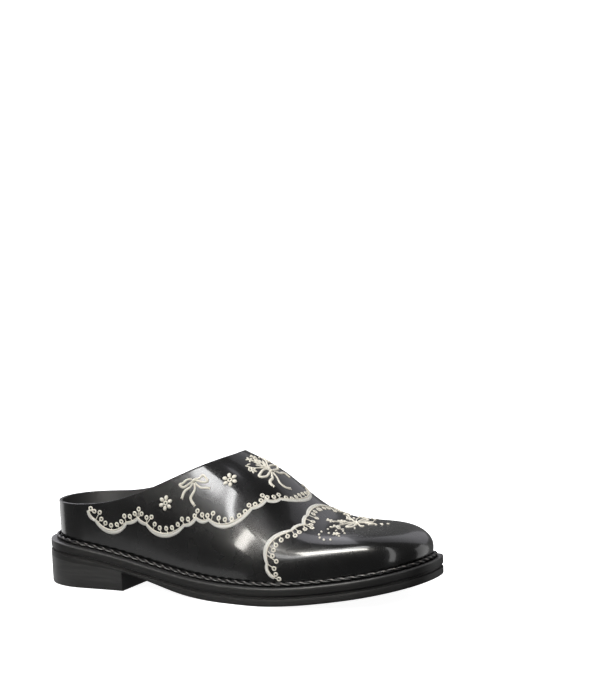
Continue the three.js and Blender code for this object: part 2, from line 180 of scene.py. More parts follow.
allAlong = np.linspace(0, 1, last["tableSteps"])
allStations = meanStation(allAlong)
reaches = [np.abs(outlinePoint(side, allAlong)[1]).max() for side in sides]
sideShift = (reaches[0] - reaches[1]) / 2


def toRow(points):  # millimetres of the last to metres of the part
    return (np.asarray(points, float) + [-soleLength / 2, sideShift, 0]) * mm


def travelAlong(points):  # length walked up to each point of a line
    return np.concatenate([[0], np.cumsum(np.linalg.norm(np.diff(points, axis=0), axis=1))])


def unit(vectors):
    return vectors / np.linalg.norm(vectors, axis=1, keepdims=True)


def floats(*values):
    return [np.atleast_1d(value).astype(float) for value in values]


def ribGirth(side, station):  # place and turns of each rib, and the travel up it from the welt to the ridge
    along = np.interp(station, allStations, allAlong)
    turn = np.linspace(0, np.pi / 2, last["girthSteps"])
    points = ribPoint(side, along[:, None], turn[None, :])
    steps = np.linalg.norm(np.diff(points, axis=1), axis=2)
    return along, turn, np.concatenate([np.zeros((len(along), 1)), np.cumsum(steps, 1)], 1)


def girthAt(side, station):
    return ribGirth(side, *floats(station))[2][:, -1]


def skinPoint(station, across):  # across: millimetres from the ridge along the girth, outer side negative
    station, across = floats(station, across)
    out = np.zeros((len(station), 3))
    for side in sides:
        mine = across < 0 if side == "lateral" else across >= 0
        if mine.any():
            along, turn, travel = ribGirth(side, station[mine])
            wanted = travel[:, -1] - np.abs(across[mine])
            turns = np.array([np.interp(w, t, turn) for w, t in zip(wanted, travel)])
            out[mine] = ribPoint(side, along, turns)
    return out


def skinSteps(station, across):  # what a millimetre of station and of across are on the skin
    half = 0.5
    ahead = skinPoint(station + half, across) - skinPoint(station - half, across)
    return ahead, skinPoint(station, across + half) - skinPoint(station, across - half)


def skinFrame(station, across):  # point, outward normal, lengthways and upwards directions
    station, across = floats(station, across)
    point = skinPoint(station, across)
    length, width = skinSteps(station, across)
    normal, length = unit(np.cross(length, width)), unit(length)
    return point, normal, length, np.cross(normal, length)


print("last: throat", last["throatHeight"], "mm, sole", soleLength, "mm")


# Modelling helpers
def onlySelect(piece):
    bpy.ops.object.select_all(action="DESELECT")
    piece.select_set(True)
    bpy.context.view_layer.objects.active = piece


def editAll(piece):  # edit mode with everything selected
    onlySelect(piece)
    bpy.ops.object.mode_set(mode="EDIT")
    bpy.ops.mesh.select_all(action="SELECT")


def leaveEdit():
    bpy.ops.object.mode_set(mode="OBJECT")


def placeVertices(piece, points):
    piece.data.vertices.foreach_set("co", np.asarray(points, float).reshape(-1))
    piece.data.update()


def setUv(piece, u, v):  # one pair for each vertex
    corner = np.zeros(len(piece.data.loops), np.int32)
    piece.data.loops.foreach_get("vertex_index", corner)
    pairs = np.stack([np.ravel(u), np.ravel(v)], -1)[corner]
    piece.data.uv_layers.active.data.foreach_set("uv", pairs.reshape(-1))


def gridPiece(name, points):  # a grid primitive laid through points[row][column]
    rows, columns = points.shape[:2]
    bpy.ops.mesh.primitive_grid_add(x_subdivisions=columns - 1, y_subdivisions=rows - 1, size=1)
    piece = bpy.context.object
    piece.name = piece.data.name = name
    placeVertices(piece, points)
    return piece


def ringPiece(name, points):  # a grid rolled up and closed through points[section][around]
    return gridPiece(name, np.pad(points, ((0, 1), (0, 1), (0, 0)), mode="wrap"))


def closeSeams(piece, distance=2e-6):
    editAll(piece)
    bpy.ops.mesh.remove_doubles(threshold=distance)
    bpy.ops.mesh.normals_make_consistent(inside=False)
    leaveEdit()


def applyModifier(piece, kind, **settings):
    onlySelect(piece)
    modifier = piece.modifiers.new(kind.title(), kind)
    for key, value in settings.items():
        setattr(modifier, key, value)
    bpy.ops.object.modifier_apply(modifier=modifier.name)


def finishPiece(piece, materials, angle, replaced=None):
    onlySelect(piece)
    bpy.ops.object.shade_smooth_by_angle(angle=math.radians(angle))
    for material in materials:
        piece.data.materials.append(material)
    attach(piece, "root")
    if replaced:
        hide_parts(replaced)


def joinPieces(name, pieces):
    onlySelect(pieces[0])
    for piece in pieces:
        piece.select_set(True)
    bpy.ops.object.join()
    joined = pieces[0]
    joined.name = joined.data.name = name
    return joined


# Materials
def newMaterial(name):
    material = bpy.data.materials.new(name)
    material.use_nodes = True
    return material, material.node_tree, material.node_tree.nodes["Principled BSDF"]


def setInputs(node, values):
    for socket, value in values.items():
        node.inputs[socket].default_value = value


def linkInputs(tree, node, sources):
    for socket, source in sources.items():
        tree.links.new(source, node.inputs[socket])


def addNode(tree, kind, values, sources):
    node = tree.nodes.new("ShaderNode" + kind)
    setInputs(node, values)
    linkInputs(tree, node, sources)
    return node


def noiseNode(tree, source, scale, detail=4, roughness=0.55):
    values = {"Scale": scale, "Detail": detail, "Roughness": roughness}
    return addNode(tree, "TexNoise", values, {"Vector": source}).outputs["Fac"]


def stripeNode(tree, source, pitch, settings):  # bands across the first coordinate
    waveRate = 20  # radians of the wave for each unit of its scale
    values = {"Scale": 2 * math.pi / pitch / waveRate, **settings}
    return addNode(tree, "TexWave", values, {"Vector": source}).outputs["Fac"]


def rampNode(tree, source, stops):  # stops: place and colour
    ramp = addNode(tree, "ValToRGB", {}, {"Fac": source})
    elements = ramp.color_ramp.elements
    for k in (0, -1):
        elements[k].position, elements[k].color = stops[k]
    for place, colour in stops[1:-1]:
        elements.new(place).color = colour
    return ramp.outputs["Color"]


def spanNode(tree, source, low, high):
    return addNode(tree, "MapRange", {"To Min": low, "To Max": high}, {"Value": source}).outputs["Result"]


def roughnessRound(tree, source, roughness):  # smoother and duller patches
    return spanNode(tree, source, roughness - 0.08, roughness + 0.1)


def bumpNode(tree, height, strength, distance, under=None):
    sources = {"Height": height, "Normal": under} if under else {"Height": height}
    return addNode(tree, "Bump", {"Strength": strength, "Distance": distance}, sources).outputs["Normal"]


def splitNode(tree, source):
    return addNode(tree, "SeparateXYZ", {}, {"Vector": source}).outputs


def coords(tree, kind):
    return tree.nodes.new("ShaderNodeTexCoord").outputs[kind]


def uvCoords(tree):
    uv = tree.nodes.new("ShaderNodeUVMap")
    uv.uv_map = "UVMap"
    return uv.outputs["UV"]


def grey(value, warmth=0.0):
    return (value * (1 + warmth), value, value * (1 - warmth), 1)


def polishedLeather():  # brushed and waxed black calf: tight grain, soft ripples under the gloss
    look = {"dark": 0.003, "pale": 0.008, "smoothest": 0.22, "dullest": 0.32,
            "clouds": 38, "grain": 1500, "ripples": 70}
    material, tree, shader = newMaterial("polishedLeather")
    place = coords(tree, "Object")
    clouds = noiseNode(tree, place, look["clouds"], 3)
    grain = noiseNode(tree, place, look["grain"], 3, 0.6)
    ripple = noiseNode(tree, place, look["ripples"], 2, 0.4)
    waves = bumpNode(tree, ripple, 0.05, 0.0012)
    linkInputs(tree, shader, {
        "Base Color": rampNode(tree, clouds, [(0.3, grey(look["dark"])), (0.75, grey(look["pale"]))]),
        "Roughness": spanNode(tree, clouds, look["smoothest"], look["dullest"]),
        "Normal": bumpNode(tree, grain, 0.10, 0.00018, waves),
        "Coat Normal": waves})
    setInputs(shader, {"Specular IOR Level": 0.22, "Coat Weight": 0.55, "Coat Roughness": 0.1})
    return material


def mattLeather(name, value, roughness):  # lining and footbed
    look = {"clouds": 55, "grain": 900, "dark": 0.7, "pale": 1.3}
    material, tree, shader = newMaterial(name)
    place = coords(tree, "Object")
    clouds = noiseNode(tree, place, look["clouds"])
    grain = noiseNode(tree, place, look["grain"], 4, 0.65)
    tones = [(0.3, grey(value * look["dark"])), (0.75, grey(value * look["pale"]))]
    linkInputs(tree, shader, {
        "Base Color": rampNode(tree, clouds, tones),
        "Roughness": roughnessRound(tree, grain, roughness),
        "Normal": bumpNode(tree, grain, 0.3, 0.0003)})
    return material


def edgeFinish(name, value, roughness, layer):  # inked edges, with faint lines where layers were trimmed
    look = {"clouds": 45, "grain": 1100, "lines": 6, "along": 6, "dark": 0.75, "pale": 1.25}
    material, tree, shader = newMaterial(name)
    place = coords(tree, "Object")
    stretch = addNode(tree, "Mapping", {"Scale": (look["along"], look["along"], layer)}, {"Vector": place})
    lines = noiseNode(tree, stretch.outputs["Vector"], look["lines"], 5, 0.7)
    clouds = noiseNode(tree, place, look["clouds"], 3)
    grain = noiseNode(tree, place, look["grain"], 3)
    tones = [(0.3, grey(value * look["dark"])), (0.7, grey(value * look["pale"], 0.02))]
    linkInputs(tree, shader, {
        "Base Color": rampNode(tree, lines, tones),
        "Roughness": roughnessRound(tree, clouds, roughness),
        "Normal": bumpNode(tree, grain, 0.2, 0.0002, bumpNode(tree, lines, 0.25, 0.0004))})
    setInputs(shader, {"Specular IOR Level": 0.2})
    return material


def wheeledFinish():  # fine notches pressed across the top of the strip
    look = {"pitch": 1.3, "dark": 0.01, "pale": 0.035}
    material, tree, shader = newMaterial("weltWheeled")
    notches = stripeNode(tree, uvCoords(tree), look["pitch"], {"Distortion": 0.3})
    linkInputs(tree, shader, {
        "Base Color": rampNode(tree, notches, [(0.1, grey(look["dark"])), (0.8, grey(look["pale"]))]),
        "Normal": bumpNode(tree, notches, 0.6, 0.0004)})
    setInputs(shader, {"Roughness": 0.42})
    return material


def threadFinish():  # ivory satin stitch: threads lie across the length of each form
    look = {"pitch": 0.42, "pale": (0.80, 0.755, 0.65, 1), "deep": (0.42, 0.385, 0.31, 1),
            "border": (0.82, 0.85, 0.91, 1), "borderFrom": 0.27, "borderFull": 0.35}
    material, tree, shader = newMaterial("ivoryThread")
    uv = uvCoords(tree)
    wave = stripeNode(tree, uv, look["pitch"], {"Distortion": 0.7, "Detail": 2, "Detail Scale": 3})
    mix = tree.nodes.new("ShaderNodeMix")  # painted shade: the satin border is made darker and cooler than its cord
    mix.data_type = "RGBA"
    mix.blend_type = "MULTIPLY"
    linkInputs(tree, mix, {
        "Factor": rampNode(tree, splitNode(tree, uv)["Y"],
                           [(look["borderFrom"], grey(0)), (look["borderFull"], grey(1))]),
        "A": rampNode(tree, wave, [(0.0, look["deep"]), (0.35, look["pale"]), (1.0, look["pale"])])})
    setInputs(mix, {"B": look["border"]})
    linkInputs(tree, shader, {
        "Base Color": mix.outputs["Result"], "Normal": bumpNode(tree, wave, 0.5, 0.00025)})
    setInputs(shader, {"Roughness": 0.5, "Sheen Weight": 0.1, "Sheen Roughness": 0.4})
    return material


def cordFinish():  # waxed black cord, with a painted glint where each strand crests
    paintedGlint = [(0.5, grey(0.003)), (0.86, grey(0.008)), (0.95, grey(0.09, 0.1)), (1.0, grey(0.3, 0.1))]
    material, tree, shader = newMaterial("waxedCord")
    fibres = noiseNode(tree, coords(tree, "Object"), 1300, 3)
    linkInputs(tree, shader, {
        "Base Color": rampNode(tree, splitNode(tree, uvCoords(tree))["Y"], paintedGlint),
        "Normal": bumpNode(tree, fibres, 0.3, 0.0002)})
    setInputs(shader, {"Roughness": 0.34, "Specular IOR Level": 0.3})
    return material


upperLeather = polishedLeather()
liningLeather = mattLeather("liningLeather", value=0.013, roughness=0.6)
footbedLeather = mattLeather("footbedLeather", value=0.016, roughness=0.5)
weltInk = edgeFinish("weltInk", value=0.011, roughness=0.48, layer=60)
# a paler finish on the welt's rounded top edge: a painted highlight
weltPaintedHighlight = edgeFinish("weltPaintedHighlight", value=0.045, roughness=0.38, layer=20)
weltWheeled = wheeledFinish()
outsoleRubber = edgeFinish("outsoleRubber", value=0.011, roughness=0.5, layer=60)
heelStack = edgeFinish("heelStack", value=0.03, roughness=0.42, layer=120)
ivoryThread = threadFinish()
waxedCord = cordFinish()
print("materials:", len(bpy.data.materials))

# Upper
shell = {"collarRibs": 72, "vampRibs": 34, "toeRibs": 56, "rows": 40, "samples": 160, "tries": 700,
         "crowding": 3, "throatFrom": 0.4, "throatTo": 0.62, "rim": 0.7, "rimSegments": 3, "rimAngle": 50}


def crossing(low, high, isBelow, halvings=45):  # where a value stops being below
    for _ in range(halvings):
        middle = (low + high) / 2
        below = isBelow(middle)
        low, high = np.where(below, middle, low), np.where(below, high, middle)
    return high


def collarTurn(side, along):  # where each rib meets the collar line, or the ridge ahead of the throat
    def overCollar(turn):
        point = ribPoint(side, along, turn)
        return point[:, 2] - collarHeight(point[:, 0])
    ridge = np.full(len(along), np.pi / 2)
    turn = crossing(np.zeros(len(along)), ridge, lambda turn: overCollar(turn) < 0)
    return np.where(overCollar(ridge) > 1e-6, turn, ridge)


def throatAlong():  # where the collar line meets the ridge
    low, high = shell["throatFrom"] * soleLength, shell["throatTo"] * soleLength
    station = crossing(low, high, lambda station: collarHeight(station) < ridgeHeight(station))
    return float(np.interp(station, allStations, allAlong))


def evenly(points, count):  # points of a line at even travel
    travel = travelAlong(points)
    wanted = np.linspace(0, travel[-1], count)
    return np.stack([np.interp(wanted, travel, points[:, c]) for c in range(points.shape[1])], -1)


def ribPlaces():  # the foot and the top of each rib, so that tops are evenly spaced round the collar
    throat = throatAlong()
    tries = throat * (1 - (1 - np.linspace(0, 1, shell["tries"])) ** shell["crowding"])
    travel = travelAlong(ribPoint("lateral", tries, collarTurn("lateral", tries)))
    share = np.linspace(0, 1, shell["collarRibs"], endpoint=False)
    tops = np.interp(share * travel[-1], travel, tries)
    ahead = np.concatenate([
        np.linspace(throat, last["toeShare"], shell["vampRibs"], endpoint=False),
        np.linspace(last["toeShare"], 1, shell["toeRibs"])])
    return np.concatenate([share * throat, ahead]), np.concatenate([tops, ahead])


def upperRibs(side):
    feet, tops = ribPlaces()
    ends = collarTurn(side, tops)
    share = np.linspace(0, 1, shell["samples"])
    lines = ribPoint(side, feet[:, None] + (tops - feet)[:, None] * share, ends[:, None] * share)
    return np.stack([evenly(line, shell["rows"]) for line in lines], 1)


lateralRibs, medialRibs = upperRibs("lateral"), upperRibs("medial")
upper = gridPiece("upper_leather", toRow(np.concatenate([lateralRibs, medialRibs[:, -2::-1]], 1)))
closeSeams(upper)
for leather in (upperLeather, liningLeather):  # the inner face of the wall takes the second
    upper.data.materials.append(leather)
applyModifier(upper, "SOLIDIFY", thickness=last["wall"] * mm, offset=-1, use_even_offset=True,
              material_offset=1, material_offset_rim=0)
applyModifier(upper, "BEVEL", width=shell["rim"] * mm, segments=shell["rimSegments"],
              limit_method="ANGLE", angle_limit=math.radians(shell["rimAngle"]))
finishPiece(upper, [], soft, "upper")
print("upper:", len(upper.data.polygons), "faces")

# Sole layers: each is laid up from cross-sections between the two edges
soleSizes = {"places": 150, "across": 9, "crown": 0, "tableSteps": 3000}


def alongPlaces(count, end):  # places at even travel round one side
    fine = np.linspace(0, end, soleSizes["tableSteps"])
    travel = travelAlong(np.stack(outlinePoint("lateral", fine), -1))
    return np.interp(np.linspace(0, travel[-1], count), travel, fine)


def edgeRail(side, along, inset, base, lift):
    x, y = insetPoint(side, along, inset)
    return np.stack([x, y, base(x) + lift], -1)


def layerPiece(name, profile, sizes, end=1.0):  # profile: inset, base and lift, from the bottom up
    along = alongPlaces(sizes["places"], end)
    outer, inner = ([edgeRail(side, along, *row) for row in profile] for side in sides)
    share = np.linspace(0, 1, sizes["across"] + 2)[1:-1]
    top = [outer[-1] + (inner[-1] - outer[-1]) * s for s in share]
    for line, s in zip(top, share):
        line[:, 2] += sizes["crown"] * 4 * s * (1 - s)
    bottom = [inner[0] + (outer[0] - inner[0]) * s for s in share]
    piece = gridPiece(name, toRow(np.stack(outer + top + inner[::-1] + bottom + outer[:1], 0)))
    closeSeams(piece)
    if end < 1:  # close the straight end of the layer
        editAll(piece)
        bpy.ops.mesh.select_all(action="DESELECT")
        bpy.ops.mesh.select_non_manifold()
        bpy.ops.mesh.edge_face_add()
        leaveEdit()
        closeSeams(piece)
    return piece


def ground(station):
    return np.zeros_like(station)


def outsoleMiddle(station):
    return (soleBottom(station) + treadHeight(station) + last["outsole"]) / 2


outsoleTop = last["outsole"]
outsoleProfile = [
    (0.7, soleBottom, 0), (0.2, soleBottom, 0.1), (0.04, soleBottom, 0.35), (0, soleBottom, 0.8),
    (0, outsoleMiddle, 0), (0, treadHeight, outsoleTop - 0.7), (0.12, treadHeight, outsoleTop - 0.2),
    (0.5, treadHeight, outsoleTop), (1.3, treadHeight, outsoleTop), (1.3, weltBase, -last["gap"])]
outsole = layerPiece("outsole_rubber", outsoleProfile, soleSizes)
finishPiece(outsole, [outsoleRubber], crisp, "outsole")

heelSizes = {"breast": 66, "taper": 0.5, "places": 70, "across": 5, "crown": 0}
taper = heelSizes["taper"]
heelProfile = [
    (taper + 0.8, ground, 0), (taper + 0.2, ground, 0.2), (taper, ground, 0.8), (0.2, ground, 8),
    (0.02, soleBottom, -0.6), (0, soleBottom, 0.7), (0.15, soleBottom, 0.72)]
breastAlong = float(np.interp(heelSizes["breast"], allStations, allAlong))
heel = layerPiece("heel_stack", heelProfile, heelSizes, breastAlong)
finishPiece(heel, [heelStack], crisp, "heel_block")

footbedSizes = {"places": 110, "across": 15, "crown": -1.2}
weltInner = last["overhang"] + last["lap"]
bedEdge = weltInner + last["gap"]
footbedProfile = [
    (bedEdge + 0.3, weltBase, 0), (bedEdge, weltBase, 0.3), (bedEdge, weltTop, -0.9),
    (bedEdge + 0.3, weltTop, -0.3), (bedEdge + 1, weltTop, 0)]
footbed = layerPiece("footbed", footbedProfile, footbedSizes)
finishPiece(footbed, [footbedLeather], firm, "insole")
print("sole layers:", sum(len(piece.data.polygons) for piece in (outsole, heel, footbed)), "faces")

# Welt strip and cord
weltSizes = {"around": 420, "chamfer": 0.7, "midInset": 5, "tableSteps": 4000}


def loopPlaces(count):  # even places round the whole outline, as side and along, and its length
    fine = np.linspace(0, 1, weltSizes["tableSteps"])
    rails = [np.stack(insetPoint(side, fine, weltSizes["midInset"]), -1) for side in sides]
    outer, inner = (travelAlong(rail) for rail in rails)
    total = outer[-1] + inner[-1]
    wanted = np.arange(count) * total / count
    onOuter = wanted <= outer[-1]
    along = np.where(onOuter, np.interp(wanted, outer, fine), np.interp(total - wanted, inner, fine))
    return onOuter, along, total


def loopRail(places, *row):
    onOuter, along = places
    outer, inner = (edgeRail(side, along, *row) for side in sides)
    return np.where(onOuter[:, None], outer, inner)


*weltAround, weltLength = loopPlaces(weltSizes["around"])
cut = weltSizes["chamfer"]
# the second face finish is the painted highlight on the welt's rounded top edge
inked, paintedHighlight, wheeled = 0, 1, 2
weltProfile = [  # inset, base, lift, and the finish of the face that follows
    (0.35, weltBase, 0, inked), (0.08, weltBase, 0.15, inked), (0, weltBase, 0.5, inked),
    (0, weltTop, -1.6, inked), (0, weltTop, -cut, paintedHighlight), (cut * 0.35, weltTop, -cut * 0.25, paintedHighlight),
    (cut, weltTop, 0, wheeled), (cut + 1.2, weltTop, 0.05, wheeled),
    (last["overhang"] - 1, weltTop, 0, inked), (weltInner, weltTop, 0, inked),
    (weltInner, weltBase, 0, inked)]
weltRings = [loopRail(weltAround, *row[:3]) for row in weltProfile]
welt = ringPiece("welt_strip", toRow(np.stack(weltRings, 0)))
weltFinish = np.repeat([row[-1] for row in weltProfile], weltSizes["around"])
welt.data.polygons.foreach_set("material_index", weltFinish.astype(np.int32))
weltTravel = np.linspace(0, weltLength, weltSizes["around"] + 1)
setUv(welt, *np.meshgrid(weltTravel, np.arange(len(weltProfile) + 1)))
closeSeams(welt)
finishPiece(welt, [weltInk, weltPaintedHighlight, weltWheeled], crisp, "welt")

twist = {"radius": 1.4, "strand": 0.92, "offset": 0.6, "strands": 2, "turns": 47, "perTurn": 16, "sides": 8}


def cordStrand(strand):
    count = twist["turns"] * twist["perTurn"]
    *around, total = loopPlaces(count)
    centreInset = last["overhang"] - twist["radius"] - 2 * last["gap"]
    lift = twist["radius"] + last["gap"]
    centre = loopRail(around, centreInset, weltTop, lift)
    inward = unit((loopRail(around, centreInset + 1, weltTop, lift) - centre) * [1, 1, 0])
    upward = np.array([0, 0, 1.0])
    phase = 2 * np.pi * (np.arange(count) / twist["perTurn"] + strand / twist["strands"])
    swing = np.cos(phase)[:, None] * inward + np.sin(phase)[:, None] * upward
    middle = centre + twist["offset"] * swing
    turn = 2 * np.pi * np.arange(twist["sides"]) / twist["sides"]
    ring = np.cos(turn)[None, :, None] * inward[:, None] + np.sin(turn)[None, :, None] * upward
    strandPoints = np.swapaxes(middle[:, None] + twist["strand"] * ring, 0, 1)
    piece = ringPiece("cord_strand", toRow(strandPoints))
    outUp = (upward - inward) / math.sqrt(2)
    # nearness to the outer, upper crest of each strand, where the painted glint goes
    paintedGlint = ((strandPoints - centre) * outUp).sum(-1) / (twist["offset"] + twist["strand"])
    step = np.tile(np.linspace(0, total, count + 1), twist["sides"] + 1)
    setUv(piece, step, np.pad(paintedGlint, (0, 1), mode="wrap"))
    return piece


cord = joinPieces("twisted_cord", [cordStrand(k) for k in range(twist["strands"])])
closeSeams(cord, 1e-7)
finishPiece(cord, [waxedCord], rounded, "welt_cord")
print("welt and cord:", len(welt.data.polygons) + len(cord.data.polygons), "faces")

# Embroidery
edging = {"height": 0.85, "between": 2.0, "endAngle": math.pi / 4, "sink": 0.06, "lowest": 0.75}
plainThread = 0.1  # place in the shading, across a form: plain up to 0.27, then the satin border with painted shade
yokeRows = [  # station, share of the girth from the ridge; depth, width, lean and steps of the next scallop
    (39.4, 0.773, 1.4, 2.5, 0, 14), (44.3, 0.824, 6.9, 3.4, 0, 30), (67.1, 0.794, 1.0, 2.5, 0, 14),
    (75.8, 0.746, 1.1, 2.5, 0, 14), (82, 0.766, 7.4, 3.4, -0.12, 30), (110.8, 0.698, 1.25, 2.5, -0.04, 14),
    (119.5, 0.63, 1.8, 2.5, -0.03, 14), (129, 0.614, 7.0, 3.4, -0.07, 30), (159.2, 0.462, 1.3, 2.5, 0, 14),
    (166.1, 0.35, 1.5, 2.5, 0, 14), (173, 0.26, 8.8, 3.3, 0, 36)]
toeRows = [
    (180, 0.932, 2.8, 2.5, 0, 14), (174.8, 0.825, 5.2, 3.3, -0.12, 30), (187.9, 0.507, 0.9, 2.5, 0, 14),
    (193.3, 0.393, 1.2, 2.5, 0, 14), (190.6, 0.239, 3.0, 3.0, 0, 36)]
roundSection = np.array([(across, height, plainThread) for across, height in [  # across, height share
    (-1, 0), (-0.82, 0.6), (-0.45, 0.92), (0, 1), (0.45, 0.92), (0.82, 0.6), (1, 0)]])
edgeSection = np.array([  # across, height share, shading: a narrow cord inside, then a flatter satin border that takes painted shade
    (-1, 0, 0), (-0.95, 0.62, 0.03), (-0.8, 0.97, 0.1), (-0.62, 0.95, 0.19), (-0.46, 0.62, 0.27),
    (-0.38, 0.42, 0.31), (-0.24, 0.54, 0.4), (0.1, 0.62, 0.55), (0.5, 0.58, 0.75), (0.82, 0.42, 0.9),
    (0.95, 0.24, 0.97), (1, 0, 1)])


def edgingHalf(rows, bulge):  # the outer half of the line, as station and across, and its widths
    corner = np.array([row[:2] for row in rows], float)
    corner[:, 1] *= girthAt("lateral", corner[:, 0])
    end = edging["endAngle"]
    lines, widths = [], []
    for k, (_, _, depth, wide, lean, steps) in enumerate(rows):
        onRidge = k == len(rows) - 1
        start = corner[k]
        across = np.array([0, -2 * start[1]]) if onRidge else corner[k + 1] - start
        out = np.array([-across[1], across[0]]) / np.linalg.norm(across) * bulge
        angle = end + (np.pi - 2 * end) * np.arange(steps // 2 + 1 if onRidge else steps) / steps
        full = (np.sin(angle) - math.sin(end)) / (1 - math.sin(end))
        run = 0.5 - np.cos(angle) / (2 * math.cos(end)) + lean * full
        lines.append(start + run[:, None] * across + full[:, None] * depth * out)
        widths.append(edging["between"] + (wide - edging["between"]) * full)
    line = np.concatenate(lines)
    return np.stack([line[:, 0], -np.clip(line[:, 1], 0, None)], -1), np.concatenate(widths)


def bandOnSkin(name, line, widths, height, section=roundSection):  # line: station and across, on the skin
    point, normal, _, _ = skinFrame(*line.T)
    side = unit(np.cross(np.gradient(point, axis=0), normal))
    widths = np.asarray(widths)
    heights = height * section[None, :, 1]
    lift = heights * np.clip(widths / widths.max(), edging["lowest"], 1)[:, None] - edging["sink"]
    reach = widths[:, None] / 2 * section[None, :, 0]
    mesh = point[:, None] + side[:, None] * reach[..., None] + normal[:, None] * lift[..., None]
    piece = gridPiece(name, toRow(mesh))
    setUv(piece, *np.meshgrid(travelAlong(point), section[:, 2], indexing="ij"))
    return piece


def mirrored(line):  # the same line on the inner side, at the same shares of the girth
    station, across = line.T
    return np.stack([station, -across * girthAt("medial", station) / girthAt("lateral", station)], -1)


def edgingPiece(name, rows, bulge, replaced):
    half, widths = edgingHalf(rows, bulge)
    line = np.concatenate([half, mirrored(half)[-2::-1]])
    width = np.concatenate([widths, widths[-2::-1]])
    if bulge < 0:  # the cord of the band stays on the side of the eyelets, and the painted shade on the outer border
        line, width = line[::-1], width[::-1]
    band = bandOnSkin(name, line, width, edging["height"], edgeSection)
    finishPiece(band, [ivoryThread], soft, replaced)
    return half


yokeLine = edgingPiece("yoke_satin_edge", yokeRows, 1, "yoke_edging")
toeLine = edgingPiece("toe_satin_edge", toeRows, -1, "toe_edging")

eyelet = {
    "ring": 1.05, "thread": 0.52, "long": 1.08, "flat": 0.75, "lift": 0.18, "around": 12, "sides": 5,
    "stem": 0.55, "stemHeight": 0.4, "stemSteps": 6, "clear": 2, "yokeNearer": 0.8}
yokeEyelets = [  # station and across of each ring on the outer side
    (39.9, -78.1), (42, -80.6), (44.7, -82.5), (48.3, -82.1), (49.5, -86.5), (52.2, -88.6),
    (55.8, -89.5), (59.7, -88.5), (63, -86.2), (65.7, -81.9), (69.6, -81.5), (73.2, -79.1),
    (76.8, -75.3), (79.2, -78), (82.5, -79.3), (86.6, -78.1), (88.7, -81.9), (92, -83),
    (96.8, -81.5), (101, -79.3), (105.5, -75.2), (108.8, -70.2), (113.3, -68.1), (118.1, -63.8),
    (120.8, -59.4), (123.8, -60.3), (128, -58.9), (132.5, -55.8), (136.7, -57.1), (141.2, -56.5),
    (146.3, -54.5), (151.1, -50.4), (154.7, -46.1), (156.2, -41.2), (160.1, -37.9), (162.8, -33),
    (162.5, -29.3), (165.8, -27.5), (168.8, -23.7), (170.6, -18.9), (174.5, -16), (176.8, -12.4),
    (177.4, -7.4), (177.4, -2.5)]
toeEyelets = [
    (183.4, -72), (181.3, -70.1), (180.1, -67.1), (181.6, -61.8), (178.6, -60), (178.9, -56.3),
    (180.1, -52.4), (183.1, -47.4), (186.7, -43), (191.5, -40.3), (193.3, -36.7), (195.7, -32.4),
    (199, -28.6), (196.9, -25.7), (196.3, -21.3), (195.7, -14.5), (192.1, -11.7), (191.2, -7),
    (190.9, -1.2)]


def baseEyelet():
    bpy.ops.mesh.primitive_torus_add(
        major_segments=eyelet["around"], minor_segments=eyelet["sides"],
        major_radius=eyelet["ring"] * mm, minor_radius=eyelet["thread"] * mm)
    ring = bpy.context.object
    editAll(ring)
    bpy.ops.transform.resize(value=(1, eyelet["long"], eyelet["flat"]))
    leaveEdit()
    around = 2 * math.pi * eyelet["ring"]
    for corner in ring.data.uv_layers.active.data:
        corner.uv = (corner.uv[0] * around, plainThread)
    return ring


def copyOnSkin(base, station, across, turn, lift, scale=(1, 1, 1)):  # its own y turned from upwards
    point, normal, length, upward = (v[0] for v in skinFrame(station, across))
    cos, sin = math.cos(turn), math.sin(turn)
    x = Vector(cos * length + sin * upward)
    y = Vector(-sin * length + cos * upward)
    place = Matrix((x, y, Vector(normal))).transposed().to_4x4()
    place.translation = Vector(toRow(point + normal * lift))
    copy = base.copy()
    copy.data = base.data.copy()
    scene.collection.objects.link(copy)
    copy.data.transform(place @ Matrix.Diagonal((*scale, 1)))
    return copy


def eyeletPieces(places, band, nearer=0):  # rings on stems from the nearest point of the band, on both sides
    ring = baseEyelet()
    made = []
    stemWidths = np.full(eyelet["stemSteps"], eyelet["stem"])
    for place in np.array(places):
        foot = band[np.argmin(np.linalg.norm(band - place, axis=1))]
        away = (place - foot) / np.linalg.norm(place - foot)
        place = place - away * nearer
        near = place - away * eyelet["ring"] * eyelet["long"]
        stem = foot + (near - foot) * np.linspace(0, 1, eyelet["stemSteps"])[:, None]
        for inner in (False, True):
            middle = mirrored(place[None])[0] if inner else place
            if skinPoint(*middle)[0][2] > collarHeight(middle[0]) - eyelet["clear"]:
                continue  # it would stand over the collar
            turn = math.atan2(-away[0], -away[1] if inner else away[1])
            made.append(copyOnSkin(ring, *middle, turn, eyelet["lift"]))
            line = mirrored(stem) if inner else stem
            made.append(bandOnSkin("stem", line, stemWidths, eyelet["stemHeight"]))
    bpy.data.objects.remove(ring)
    return made


eyeletParts = eyeletPieces(yokeEyelets, yokeLine, eyelet["yokeNearer"])
eyeletParts += eyeletPieces(toeEyelets, toeLine)
print("eyelets:", len(eyeletParts) // 2)
eyelets = joinPieces("eyelets", eyeletParts)
finishPiece(eyelets, [ivoryThread], rounded)

